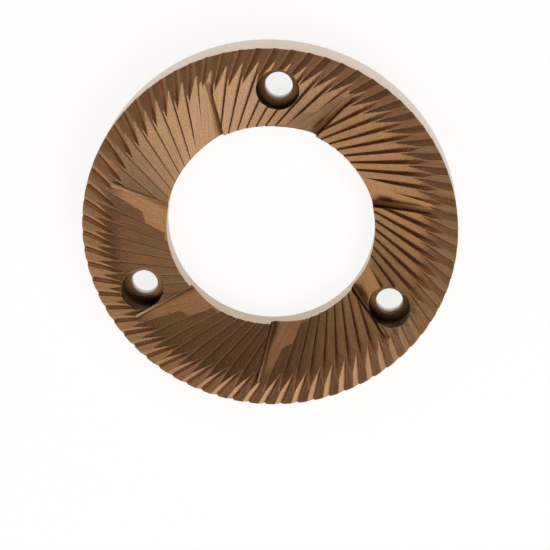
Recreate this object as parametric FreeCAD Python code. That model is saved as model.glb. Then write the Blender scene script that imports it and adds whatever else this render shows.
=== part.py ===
import FreeCAD, Part
import math
import os

# Flat grinding burr of a coffee grinder: one turned and milled steel ring, coated bronze.
# Units are millimetres. The ring lies on its flat back, with its teeth up, centred on the origin.

# Ring blank
outer_diameter = 75.0
bore_diameter = 42.0
thickness = 7.5

# Screw holes, counterbored from the toothed face
screw_count = 3
screw_circle_diameter = 58.0
screw_hole_diameter = 5.5
counterbore_diameter = 8.5
counterbore_depth = 4.75
screw_angle = 86.8

# Both rings of teeth have the same count, and the breakers share them out evenly
tooth_count = 70
breaker_count = 7

# Finishing teeth at the rim: shallow grooves with a gentle flank and a steep one
finish_offset = 16.0
finish_angle = 63.3
finish_depth = 0.6
finish_rise = 0.012
finish_inner_radius = 27.5
finish_gentle_slope = 27.0
finish_steep_slope = 62.0

# Feeding teeth: grooves that start at run_out_radius and grow deeper towards the bore
feed_offset = 12.2
feed_angle = 72.65
feed_run_out_radius = 35.0
feed_fall = 0.23
feed_gentle_slope = 23.0
feed_steep_slope = 60.0

# Breaker gullets: one straight wall, a rounded corner and a floor that rises away from it
gullet_offset = 5.2
gullet_angle = 101.85
gullet_depth = 5.54
gullet_fall = 0.392
gullet_floor_slope = 25.7
gullet_wall_lean = 4.0
gullet_corner_radius = 0.8
gullet_outer_radius = 34.0

# Room that each cutter has above the toothed face, and past the ends of its cut
clearance = 0.3
overrun = 5.0


def slope(degrees):
    return math.tan(math.radians(degrees))


def along(radius, offset):
    """Distance along a line that passes the axis at offset, from its foot to a radius."""
    return math.sqrt(radius ** 2 - offset ** 2)


def cutter(section, angle, offset, start, end, start_height, climb):
    """Prism of a section, carried outwards along a straight line beside the axis.

    The line passes the axis at offset, turned to angle. Its height is start_height at start,
    measured along the line, and it climbs at a fixed rate. A section is a closed list of edges
    in the XZ plane, where X points anticlockwise across the line.
    """
    face = Part.Face(Part.Wire(section))
    run = end - start
    prism = face.extrude(FreeCAD.Vector(0, -run, run * climb))
    prism.translate(FreeCAD.Vector(offset, -start, start_height))
    prism.rotate(FreeCAD.Vector(0, 0, 0), FreeCAD.Vector(0, 0, 1), angle + 90)
    return prism


def polygon(points):
    vectors = [FreeCAD.Vector(x, 0, z) for x, z in points]
    return Part.makePolygon(vectors + vectors[:1]).Edges


def patterned(shape, count):
    """Copies of a shape, turned evenly about the axis."""
    copies = []
    for index in range(count):
        copy = shape.copy()
        copy.rotate(FreeCAD.Vector(0, 0, 0), FreeCAD.Vector(0, 0, 1), 360.0 * index / count)
        copies.append(copy)
    return copies


def blank():
    """Turned ring with sharp edges."""
    inner = bore_diameter / 2
    outer = outer_diameter / 2
    profile = polygon([(inner, 0), (outer, 0), (outer, thickness), (inner, thickness)])
    face = Part.Face(Part.Wire(profile))
    return face.revolve(FreeCAD.Vector(0, 0, 0), FreeCAD.Vector(0, 0, 1), 360)


def finishing_groove():
    """Groove with its steep flank on the anticlockwise side and its gentle flank on the other."""
    top = finish_depth + clearance
    section = polygon([
        (0, 0),
        (top / slope(finish_steep_slope), top),
        (-top / slope(finish_gentle_slope), top),
    ])
    rim = along(outer_diameter / 2, finish_offset)
    start = along(finish_inner_radius, finish_offset)
    end = rim + overrun
    floor = thickness - finish_depth + finish_rise * (rim - start)
    return cutter(section, finish_angle, finish_offset, start, end, floor, -finish_rise)


def feeding_groove():
    """Groove with its steep flank on the clockwise side and a wide gentle flank on the other."""
    run_out = along(feed_run_out_radius, feed_offset)
    start = along(bore_diameter / 2, feed_offset) - overrun
    depth = feed_fall * (run_out - start)
    top = depth + clearance
    section = polygon([
        (0, 0),
        (top / slope(feed_gentle_slope), top),
        (-top / slope(feed_steep_slope), top),
    ])
    end = run_out + overrun
    return cutter(section, feed_angle, feed_offset, start, end, thickness - depth, feed_fall)


def gullet():
    """Deep cut with a leaning wall on its clockwise side, a rounded corner and a rising floor."""
    start = along(bore_diameter / 2, gullet_offset)
    end = along(gullet_outer_radius, gullet_offset)
    top = gullet_depth + gullet_fall * overrun + clearance
    reach = top / slope(gullet_floor_slope)
    corner = FreeCAD.Vector(0, 0, 0)
    lip = FreeCAD.Vector(-top * slope(gullet_wall_lean), 0, top)
    far = FreeCAD.Vector(reach, 0, top)
    # The corner's arc is tangent to the wall and to the floor
    half = math.radians(90 + gullet_wall_lean - gullet_floor_slope) / 2
    setback = gullet_corner_radius / math.tan(half)
    wall_end = corner + (lip - corner).normalize() * setback
    floor_end = corner + (far - corner).normalize() * setback
    middle_angle = math.radians(gullet_floor_slope) + half
    nearest = gullet_corner_radius / math.sin(half) - gullet_corner_radius
    arc_middle = FreeCAD.Vector(nearest * math.cos(middle_angle), 0, nearest * math.sin(middle_angle))
    section = [
        Part.LineSegment(floor_end, far).toShape(),
        Part.LineSegment(far, lip).toShape(),
        Part.LineSegment(lip, wall_end).toShape(),
        Part.Arc(wall_end, arc_middle, floor_end).toShape(),
    ]
    floor = thickness - gullet_depth - gullet_fall * overrun
    return cutter(section, gullet_angle, gullet_offset, start - overrun, end, floor, gullet_fall)


def screw_hole():
    """Through hole with a flat-bottomed counterbore from the toothed face."""
    through = Part.makeCylinder(screw_hole_diameter / 2, thickness + 2 * clearance)
    through.translate(FreeCAD.Vector(0, 0, -clearance))
    head = Part.makeCylinder(counterbore_diameter / 2, counterbore_depth + clearance)
    head.translate(FreeCAD.Vector(0, 0, thickness - counterbore_depth))
    hole = through.fuse(head)
    hole.translate(FreeCAD.Vector(screw_circle_diameter / 2, 0, 0))
    hole.rotate(FreeCAD.Vector(0, 0, 0), FreeCAD.Vector(0, 0, 1), screw_angle)
    return hole


def burr():
    ring = blank()
    ring = ring.cut(patterned(finishing_groove(), tooth_count))
    ring = ring.cut(patterned(feeding_groove(), tooth_count))
    ring = ring.cut(patterned(gullet(), breaker_count))
    ring = ring.cut(patterned(screw_hole(), screw_count))
    return ring.removeSplitter()


os.makedirs("parts", exist_ok=True)
ring = burr()
solid = ring.Solids[0]
solid.exportStep("parts/burr.step")
print("solids", len(ring.Solids), "faces", len(solid.Faces), "valid", solid.isValid())
print("volume", round(solid.Volume, 1), "box", solid.optimalBoundingBox(True, False))
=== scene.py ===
import math

import bpy
import numpy as np
from mathutils import Matrix, Vector


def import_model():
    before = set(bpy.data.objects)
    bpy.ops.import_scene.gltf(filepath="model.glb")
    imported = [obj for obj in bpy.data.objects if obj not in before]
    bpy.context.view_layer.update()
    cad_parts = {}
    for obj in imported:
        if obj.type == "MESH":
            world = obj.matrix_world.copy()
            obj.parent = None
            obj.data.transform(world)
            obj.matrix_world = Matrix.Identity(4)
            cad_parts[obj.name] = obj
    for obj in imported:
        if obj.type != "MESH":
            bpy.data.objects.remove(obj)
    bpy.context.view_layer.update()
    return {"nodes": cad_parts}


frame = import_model()

# Sizes in metres, in the frame of the CAD: the ring lies on its back with its teeth up
OUTER_RADIUS = 0.0375
BORE_RADIUS = 0.021
THICKNESS = 0.0075

# Camera: it looks down from over the ring's +Y half, with the picture's top towards +Y
VIEW_FROM_NORMAL = math.radians(19.415)
VIEW_SIDEWAYS = math.radians(3.668)
VIEW_DISTANCE = 0.36524
AIM_SIDEWAYS = 0.0032
AIM_UPWARDS = -0.023
FOCAL_PIXELS = 1834.0
IMAGE_PIXELS = 550.0
SENSOR_WIDTH = 36.0
NEAREST_SEEN = 0.01
FARTHEST_SEEN = 20.0

# Colours of the light: the key is neutral and all the rest is a little warm
KEY_LIGHT = (1.0, 1.0, 1.0)
WARM_LIGHT = (1.0, 0.85, 0.68)

# Panels of light: azimuth, elevation, width and height in degrees, brightness and colour
PANEL_DISTANCE = 1.2
PANELS = {
    "key": (-50.0, 35.0, 46.0, 50.0, 1.08, KEY_LIGHT),
    "left": (-132.0, 17.0, 64.0, 26.0, 0.9, WARM_LIGHT),
    "front": (-90.0, 24.0, 30.0, 16.0, 0.42, WARM_LIGHT),
    "above_left": (-135.0, 56.0, 28.0, 16.0, 1.2, WARM_LIGHT),
    "right": (42.0, 42.0, 78.0, 22.0, 1.1, WARM_LIGHT),
    "back": (110.0, 32.0, 40.0, 20.0, 0.6, WARM_LIGHT),
    "far_left": (164.0, 27.0, 46.0, 25.0, 0.95, WARM_LIGHT),
    "above": (-90.0, 78.0, 60.0, 24.0, 0.17, WARM_LIGHT),
}
WORLD_LEVEL = 0.04
WORLD_TINT = (1.0, 0.7, 0.45, 1.0)

# White sheet under the part, and the share of its glow that shows in the screw holes' walls
FLOOR_HALF_WIDTH = 1.5
FLOOR_WHITE = (0.41, 0.45, 0.50, 1.0)
FLOOR_ROUGHNESS = 0.9
FLOOR_GLOW = 0.82
GLOW_COLOUR = (1.0, 1.0, 1.0, 1.0)
SCREW_HOLE_GLOW = 0.6

# Bronze-coloured hard coating, and cloudy changes towards red and green in it
BRONZE = (0.60, 0.36, 0.205, 1.0)
BRONZE_RED = (0.62, 0.345, 0.20, 1.0)
BRONZE_GREEN = (0.57, 0.375, 0.19, 1.0)
CLOUD_SHARE = 0.6
CLOUD_SIZE = 0.0014
CLOUD_DETAIL = 3.0
CLOUD_RANGE = (0.35, 0.65)

# Turned walls painted paler, as a painted reflection of the bright surroundings at a glancing
# view: the rim changes from its foot, whitest near the white floor, to its top, and the bore is
# one colour
RIM_FOOT_BRONZE_AND_SHEEN = (0.67, 0.57, 0.46, 1.0)
RIM_TOP_BRONZE_AND_SHEEN = (0.69, 0.50, 0.365, 1.0)
RIM_CHANGE = (0.001, 0.0075)
BORE_BRONZE_AND_SHEEN = (0.56, 0.435, 0.32, 1.0)

# Depth below the surface within which a point counts as being on a wall
WALL_DEPTH = 0.00008

# A face counts as the back below this Z of its normal, and as steep under these upright shares
BACK_FACING = -0.5
STEEP_RANGE = (0.5, 0.62)

# The teeth's lines pass this far beside the axis, and the inner teeth give way to the outer
INNER_TOOTH_OFFSET = 0.0122
OUTER_TOOTH_OFFSET = 0.016
TOOTH_CHANGE = (0.029, 0.034)

# Marks of the grinding wheel, which run along the teeth
MARK_WIDTH = 0.00022
MARK_STRETCH = 0.04
MARK_RADIUS = 0.03
MARK_DETAIL = 3.0
MARK_SHEEN = 0.7

# Finer and calmer marks round the axis, on the walls and the back
TURNED_WIDTH = 0.00012
TURNED_STRETCH = 0.006
TURNED_DETAIL = 2.0
TURNED_DEPTH = 0.35
TURNED_CALM = 0.55

# Fine grain of the coating
GRAIN_SIZE = 0.00024
GRAIN_DETAIL = 2.0

# Levels of the colour: a range of grain, marks or hollow, then the level at its two ends; the
# hollow's levels are painted shade
SPECKLE = (0.3, 0.7, 0.8, 1.12)
STREAK = (0.3, 0.7, 0.84, 1.12)
HOLLOW_REACH = 0.0026
HOLLOW_RANGE = (0.3, 0.65)
HOLLOW_CHANGE = (0.0335, 0.035)
HOLLOW_SHADE_LEVELS = (0.22, 1.0)

# Painted shade in the creases and on the steep flanks: its share on inner and outer teeth
CREVICE_SHADE = (0.16, 0.075, 0.03, 1.0)
CREASE_REACH = 0.0005
CREASE_RANGE = (0.18, 0.5)
CREASE_SHADE = (0.85, 0.1)
STEEP_SHADE = (0.4, 0.0)

# Band of painted shadow along the inner corner of each gullet, which fades out past these radii
GULLET_COUNT = 7
GULLET_OFFSET = 0.0052
GULLET_ANGLE = math.radians(101.85)
GULLET_SHADE_STRENGTH = 0.92
GULLET_SHADE_BEFORE = 0.00025
GULLET_SHADE_SPREAD = 0.5
GULLET_SHADE_DEPTHS = (0.0002, 0.0006)
GULLET_SHADE_RADII = (0.032, 0.0345)
LEAST_DEPTH = 0.0001

# Screw holes: their walls are painted pale at the foot, as a painted reflection of the floor, and
# dark above, as painted shade
SCREW_COUNT = 3
SCREW_CIRCLE_RADIUS = 0.029
SCREW_ANGLE = math.radians(86.8)
COUNTERBORE_RADIUS = 0.00425
COUNTERBORE_FLOOR = 0.00275
SCREW_WALL_FOOT_REFLECTION = (0.94, 0.84, 0.71, 1.0)
SCREW_WALL_TOP_SHADE = (0.10, 0.05, 0.02, 1.0)
SCREW_WALL_CHANGE = (0.0006, 0.0021)

# Sharp edges are painted pale, partly as wear and partly as painted highlights of the rounded
# crests, in patches that follow the grain
WORN_EDGE_AND_HIGHLIGHT = (0.86, 0.68, 0.50, 1.0)
PALE_EDGE_WIDTH = 0.00012
PALE_EDGE_RANGE = (0.06, 0.4)
PALE_EDGE_PATCHES = (0.3, 0.6, 0.2, 0.6)

# Gloss and relief
ROUGHNESS = 0.36
ROUGHNESS_SPREAD = 0.12
GRAIN_RELIEF = 0.4
MARK_RELIEF = 0.6
BUMP_STRENGTH = 0.6
BUMP_HEIGHT = 0.000012
EDGE_ROUNDING = 0.00014
FLANK_LIFT = 0.25

# Rays for each blocked share and for each rounded edge
OCCLUSION_SAMPLES = 8
ROUNDING_SAMPLES = 6

# Sockets of the Mix node for each kind of value: its result and its two inputs
MIX_SOCKETS = {"FLOAT": (0, 2, 3), "VECTOR": (1, 4, 5), "RGBA": (2, 6, 7)}


def unit(vector):
    return vector / np.linalg.norm(vector)


def camera():
    """Camera at a distance from the toothed face's centre, aimed a little beside that centre."""
    height = math.cos(VIEW_FROM_NORMAL)
    away = np.array([
        height * math.sin(VIEW_SIDEWAYS),
        math.sin(VIEW_FROM_NORMAL),
        height * math.cos(VIEW_SIDEWAYS),
    ])
    picture_top = np.array([0.0, 1.0, 0.0])
    right = unit(np.cross(-away, picture_top))
    upward = np.cross(right, -away)
    forward = unit(-away + AIM_SIDEWAYS * right + AIM_UPWARDS * upward)
    right = unit(np.cross(forward, picture_top))
    upward = np.cross(right, forward)
    data = bpy.data.cameras.new("camera")
    data.sensor_width = SENSOR_WIDTH
    data.lens = SENSOR_WIDTH * FOCAL_PIXELS / IMAGE_PIXELS
    data.clip_start = NEAREST_SEEN
    data.clip_end = FARTHEST_SEEN
    obj = bpy.data.objects.new("camera", data)
    turn = Matrix([right, upward, -forward]).transposed().to_4x4()
    place = Vector(away * VIEW_DISTANCE) + Vector((0.0, 0.0, THICKNESS))
    obj.matrix_world = Matrix.Translation(place) @ turn
    bpy.context.scene.collection.objects.link(obj)
    bpy.context.scene.camera = obj


def panel(name, azimuth, elevation, width, height, brightness, colour):
    """Soft panel of light on a sphere about the part, facing it.

    Azimuth and elevation give its middle as seen from the part, width and height the angles
    that it fills there, all in degrees. Brightness is its radiance, where 1 is a white surface.
    """
    azimuth, elevation = math.radians(azimuth), math.radians(elevation)
    across = 2.0 * PANEL_DISTANCE * math.tan(math.radians(width) / 2)
    upright = 2.0 * PANEL_DISTANCE * math.tan(math.radians(height) / 2)
    data = bpy.data.lights.new(name, "AREA")
    data.shape = "RECTANGLE"
    data.size = across
    data.size_y = upright
    data.energy = brightness * math.pi * across * upright
    data.color = colour
    obj = bpy.data.objects.new(name, data)
    place = PANEL_DISTANCE * Vector((
        math.cos(elevation) * math.cos(azimuth),
        math.cos(elevation) * math.sin(azimuth),
        math.sin(elevation),
    ))
    turn = (-place).to_track_quat("-Z", "Y").to_matrix().to_4x4()
    obj.matrix_world = Matrix.Translation(place) @ turn
    bpy.context.scene.collection.objects.link(obj)


def world():
    data = bpy.data.worlds.new("studio")
    data.use_nodes = True
    background = data.node_tree.nodes["Background"]
    background.inputs["Color"].default_value = WORLD_TINT
    background.inputs["Strength"].default_value = WORLD_LEVEL
    bpy.context.scene.world = data


class Recipe:
    """Material under construction: each method adds nodes and returns the last one's output."""

    def __init__(self, name):
        self.material = bpy.data.materials.new(name)
        self.material.use_nodes = True
        self.tree = self.material.node_tree
        self.shader = self.tree.nodes["Principled BSDF"]

    def fill(self, node, slot, value):
        if isinstance(value, bpy.types.NodeSocket):
            self.tree.links.new(value, node.inputs[slot])
        else:
            node.inputs[slot].default_value = value

    def add(self, kind, output, slots, **settings):
        node = self.tree.nodes.new(kind)
        for name, value in settings.items():
            setattr(node, name, value)
        for slot, value in slots.items():
            self.fill(node, slot, value)
        return node.outputs[output]

    def shade(self, **slots):
        for name, value in slots.items():
            self.fill(self.shader, name.replace("_", " "), value)

    def maths(self, operation, first, second=0.0):
        return self.add("ShaderNodeMath", 0, {0: first, 1: second}, operation=operation)

    def sum(self, first, second):
        return self.maths("ADD", first, second)

    def less(self, first, second):
        return self.maths("SUBTRACT", first, second)

    def product(self, first, second):
        return self.maths("MULTIPLY", first, second)

    def rest(self, share):
        return self.less(1.0, share)

    def ramp(self, value, start, end, low=0.0, high=1.0):
        """Smooth change from low to high while value goes from start to end."""
        slots = {"Value": value, "From Min": start, "From Max": end, "To Min": low, "To Max": high}
        return self.add("ShaderNodeMapRange", 0, slots, interpolation_type="SMOOTHSTEP")

    def mix(self, kind, share, first, second):
        output, before, after = MIX_SOCKETS[kind]
        slots = {0: share, before: first, after: second}
        return self.add("ShaderNodeMix", output, slots, data_type=kind)

    def blend(self, share, first, second):
        return self.mix("RGBA", share, first, second)

    def noise(self, place, size, detail):
        slots = {"Vector": place, "Scale": 1.0 / size, "Detail": detail}
        return self.add("ShaderNodeTexNoise", "Fac", slots)

    def point(self, x, y, z):
        return self.add("ShaderNodeCombineXYZ", 0, {0: x, 1: y, 2: z})

    def part(self, vector, axis):
        return self.add("ShaderNodeSeparateXYZ", axis, {0: vector})

    def length(self, vector):
        return self.add("ShaderNodeVectorMath", "Value", {0: vector}, operation="LENGTH")

    def vector_maths(self, operation, slots):
        return self.add("ShaderNodeVectorMath", "Vector", slots, operation=operation)

    def blocked(self, reach, inside=False):
        """Share of directions, outside or inside the surface, that meet it within reach."""
        open_share = self.add(
            "ShaderNodeAmbientOcclusion", "AO", {"Distance": reach},
            inside=inside, only_local=True, samples=OCCLUSION_SAMPLES)
        return self.rest(open_share)


def floor():
    """Square sheet under the part, white to the camera and in reflections, with soft shadows.

    Between the bore and the rim only the screw holes show it to reflections, and there it is
    less bright.
    """
    half = FLOOR_HALF_WIDTH
    corners = [(-half, -half, 0.0), (half, -half, 0.0), (half, half, 0.0), (-half, half, 0.0)]
    mesh = bpy.data.meshes.new("floor")
    mesh.from_pydata(corners, [], [(0, 1, 2, 3)])
    obj = bpy.data.objects.new("floor", mesh)
    bpy.context.scene.collection.objects.link(obj)
    recipe = Recipe("floor_white")
    radius = recipe.length(recipe.add("ShaderNodeTexCoord", "Object", {}))
    inside_bore = recipe.maths("LESS_THAN", radius, BORE_RADIUS)
    past_rim = recipe.maths("GREATER_THAN", radius, OUTER_RADIUS)
    open_floor = recipe.maths("MAXIMUM", recipe.sum(inside_bore, past_rim), SCREW_HOLE_GLOW)
    to_camera = recipe.add("ShaderNodeLightPath", "Is Camera Ray", {})
    to_gloss = recipe.add("ShaderNodeLightPath", "Is Glossy Ray", {})
    seen = recipe.maths("MAXIMUM", to_camera, recipe.product(to_gloss, open_floor))
    recipe.shade(
        Base_Color=FLOOR_WHITE,
        Roughness=FLOOR_ROUGHNESS,
        Specular_IOR_Level=0.0,
        Emission_Color=GLOW_COLOUR,
        Emission_Strength=recipe.product(seen, FLOOR_GLOW),
    )
    mesh.materials.append(recipe.material)


class Surface:
    """Node outputs that say where a point of the ring lies, and on which kind of face.

    A line that passes the axis at a fixed offset has one direction angle, which is the azimuth
    less asin(offset / radius) at each of its points. The lines of the teeth are found so.
    """

    def __init__(self, recipe):
        self.recipe = recipe
        self.place = recipe.add("ShaderNodeTexCoord", "Object", {})
        self.x = recipe.part(self.place, "X")
        self.y = recipe.part(self.place, "Y")
        self.z = recipe.part(self.place, "Z")
        self.radius = recipe.length(recipe.point(self.x, self.y, 0.0))
        self.azimuth = recipe.maths("ARCTAN2", self.y, self.x)

        facing = recipe.part(recipe.add("ShaderNodeTexCoord", "Normal", {}), "Z")
        self.steep = recipe.ramp(recipe.maths("ABSOLUTE", facing), *STEEP_RANGE, 1.0, 0.0)
        self.rim = recipe.maths("GREATER_THAN", self.radius, OUTER_RADIUS - WALL_DEPTH)
        self.bore = recipe.maths("LESS_THAN", self.radius, BORE_RADIUS + WALL_DEPTH)
        back = recipe.maths("LESS_THAN", facing, BACK_FACING)
        wall = recipe.maths("MAXIMUM", self.rim, self.bore)
        self.turned = recipe.maths("MAXIMUM", wall, back)

        direction = self.line_direction(self.by_teeth(INNER_TOOTH_OFFSET, OUTER_TOOTH_OFFSET))
        self.line_x = recipe.maths("COSINE", direction)
        self.line_y = recipe.maths("SINE", direction)

    def by_teeth(self, inner, outer):
        """Value that changes from the inner teeth to the outer ones."""
        return self.recipe.ramp(self.radius, *TOOTH_CHANGE, inner, outer)

    def line_direction(self, offset):
        lean = self.recipe.maths("ARCSINE", self.recipe.maths("DIVIDE", offset, self.radius))
        return self.recipe.less(self.azimuth, lean)


def surface_marks(recipe, surface):
    """Marks along the teeth, and marks round the axis on the walls and the back."""
    along_line = recipe.point(
        recipe.product(surface.line_x, MARK_RADIUS),
        recipe.product(surface.line_y, MARK_RADIUS),
        recipe.product(surface.radius, MARK_STRETCH))
    ground = recipe.noise(along_line, MARK_WIDTH, MARK_DETAIL)
    round_axis = recipe.point(
        recipe.product(surface.x, TURNED_STRETCH),
        recipe.product(surface.y, TURNED_STRETCH),
        recipe.sum(surface.radius, surface.z))
    turned = recipe.noise(round_axis, TURNED_WIDTH, TURNED_DETAIL)
    turned = recipe.sum(0.5 - 0.5 * TURNED_DEPTH, recipe.product(turned, TURNED_DEPTH))
    return recipe.mix("FLOAT", surface.turned, ground, turned)


def gullet_corner_shade(recipe, surface):
    """Share of painted shadow, which grows towards the corner line of the nearest gullet."""
    pitch = 2.0 * math.pi / GULLET_COUNT
    turn = recipe.less(surface.line_direction(GULLET_OFFSET), GULLET_ANGLE)
    before = recipe.maths("DIVIDE", GULLET_SHADE_BEFORE, surface.radius)
    past = recipe.maths("FLOORED_MODULO", recipe.sum(turn, before), pitch)
    distance = recipe.less(recipe.product(past, surface.radius), GULLET_SHADE_BEFORE)
    depth = recipe.less(THICKNESS, surface.z)
    nearness = recipe.maths("DIVIDE", distance, recipe.maths("MAXIMUM", depth, LEAST_DEPTH))
    corner = recipe.ramp(nearness, 0.0, GULLET_SHADE_SPREAD, 1.0, 0.0)
    below = recipe.ramp(depth, *GULLET_SHADE_DEPTHS)
    within = recipe.ramp(surface.radius, *GULLET_SHADE_RADII, 1.0, 0.0)
    return recipe.product(recipe.product(corner, below), within)


def screw_hole_wall(recipe, surface):
    """1 on the walls of the screw holes and of their counterbores, 0 elsewhere."""
    pitch = 2.0 * math.pi / SCREW_COUNT
    past = recipe.less(surface.azimuth, SCREW_ANGLE - pitch / 2)
    turn = recipe.less(recipe.maths("FLOORED_MODULO", past, pitch), pitch / 2)
    outward = recipe.product(surface.radius, recipe.maths("COSINE", turn))
    sideways = recipe.product(surface.radius, recipe.maths("SINE", turn))
    from_centre = recipe.point(recipe.less(outward, SCREW_CIRCLE_RADIUS), sideways, 0.0)
    reach = COUNTERBORE_RADIUS + WALL_DEPTH
    within = recipe.maths("LESS_THAN", recipe.length(from_centre), reach)
    return recipe.product(within, surface.steep)


def coating_colour(recipe, surface, marks, grain, calm):
    """Bronze with clouds, painted shade in creases, gullet corners and on steep flanks, walls with
    painted paler reflections, edges painted pale for wear and highlights, then its speckles,
    streaks and painted shade in hollows.
    """
    cloud = recipe.noise(surface.place, CLOUD_SIZE, CLOUD_DETAIL)
    tint = recipe.blend(recipe.ramp(cloud, *CLOUD_RANGE), BRONZE_RED, BRONZE_GREEN)
    coat = recipe.blend(CLOUD_SHARE, BRONZE, tint)

    crease = recipe.ramp(recipe.blocked(CREASE_REACH), *CREASE_RANGE)
    # Painted shade: creases, gullet corners and steep flanks are darkened towards the crevice
    # colour
    for share in (
        recipe.product(crease, surface.by_teeth(*CREASE_SHADE)),
        recipe.product(gullet_corner_shade(recipe, surface), GULLET_SHADE_STRENGTH),
        recipe.product(surface.steep, surface.by_teeth(*STEEP_SHADE)),
    ):
        coat = recipe.blend(share, coat, CREVICE_SHADE)

    # Painted reflection: rim and bore are paler than the bronze, the rim palest at its foot
    rim_bronze_and_sheen = recipe.blend(recipe.ramp(surface.z, *RIM_CHANGE), RIM_FOOT_BRONZE_AND_SHEEN, RIM_TOP_BRONZE_AND_SHEEN)
    coat = recipe.blend(surface.rim, coat, rim_bronze_and_sheen)
    coat = recipe.blend(surface.bore, coat, BORE_BRONZE_AND_SHEEN)

    # Painted reflection at the foot of each screw hole's wall and painted shade above it
    screw_wall = screw_hole_wall(recipe, surface)
    rise = recipe.ramp(surface.z, *SCREW_WALL_CHANGE)
    coat = recipe.blend(screw_wall, coat, recipe.blend(rise, SCREW_WALL_FOOT_REFLECTION, SCREW_WALL_TOP_SHADE))

    # Edges painted pale, partly as wear and partly as painted highlights
    edge = recipe.ramp(recipe.blocked(PALE_EDGE_WIDTH, inside=True), *PALE_EDGE_RANGE)
    worn_and_highlight = recipe.product(edge, recipe.ramp(grain, *PALE_EDGE_PATCHES))
    coat = recipe.blend(worn_and_highlight, coat, WORN_EDGE_AND_HIGHLIGHT)

    # Painted shade darkens the hollows, apart from the walls below the counterbores, which stay
    # unshaded
    deepest = recipe.ramp(surface.radius, *HOLLOW_CHANGE, *HOLLOW_SHADE_LEVELS)
    shade = recipe.ramp(recipe.blocked(HOLLOW_REACH), *HOLLOW_RANGE, 1.0, deepest)
    is_low = recipe.maths("LESS_THAN", surface.z, COUNTERBORE_FLOOR - WALL_DEPTH)
    shade = recipe.maths("MAXIMUM", shade, recipe.product(screw_wall, is_low))

    pattern = recipe.product(recipe.ramp(grain, *SPECKLE), recipe.ramp(marks, *STREAK))
    level = recipe.mix("FLOAT", calm, recipe.product(pattern, shade), 1.0)
    return recipe.vector_maths("SCALE", {0: coat, "Scale": level})


def shading_normal(recipe, surface, marks, grain, calm):
    """Normal with rounded edges and fine relief.

    The flanks of the outer teeth are shaded a little flatter than they are cut.
    """
    rounded = recipe.add(
        "ShaderNodeBevel", 0, {"Radius": EDGE_ROUNDING}, samples=ROUNDING_SAMPLES)
    lift = recipe.product(surface.by_teeth(0.0, FLANK_LIFT), recipe.rest(surface.turned))
    lifted = recipe.vector_maths("ADD", {0: rounded, 1: recipe.point(0.0, 0.0, lift)})
    relief = recipe.sum(recipe.product(grain, GRAIN_RELIEF), recipe.product(marks, MARK_RELIEF))
    return recipe.add("ShaderNodeBump", 0, {
        "Height": recipe.product(relief, recipe.rest(calm)),
        "Strength": BUMP_STRENGTH,
        "Distance": BUMP_HEIGHT,
        "Normal": recipe.vector_maths("NORMALIZE", {0: lifted}),
    })


def bronze_coat():
    """Ground and coated steel, whose gloss is stretched across its marks."""
    recipe = Recipe("bronze_coat")
    surface = Surface(recipe)
    marks = surface_marks(recipe, surface)
    grain = recipe.noise(surface.place, GRAIN_SIZE, GRAIN_DETAIL)
    calm = recipe.product(surface.turned, TURNED_CALM)
    along_teeth = recipe.point(surface.line_x, surface.line_y, 0.0)
    round_axis = recipe.point(recipe.product(surface.y, -1.0), surface.x, 0.0)
    recipe.shade(
        Base_Color=coating_colour(recipe, surface, marks, grain, calm),
        Metallic=1.0,
        Roughness=recipe.sum(
            ROUGHNESS - ROUGHNESS_SPREAD / 2, recipe.product(marks, ROUGHNESS_SPREAD)),
        Anisotropic=MARK_SHEEN,
        Tangent=recipe.mix("VECTOR", surface.turned, along_teeth, round_axis),
        Normal=shading_normal(recipe, surface, marks, grain, calm),
    )
    return recipe.material


burr = frame["nodes"]["burr"]
burr.data.materials.clear()
burr.data.materials.append(bronze_coat())

bpy.context.scene.view_settings.view_transform = "Standard"
camera()
floor()
world()
for name, light in PANELS.items():
    panel(name, *light)
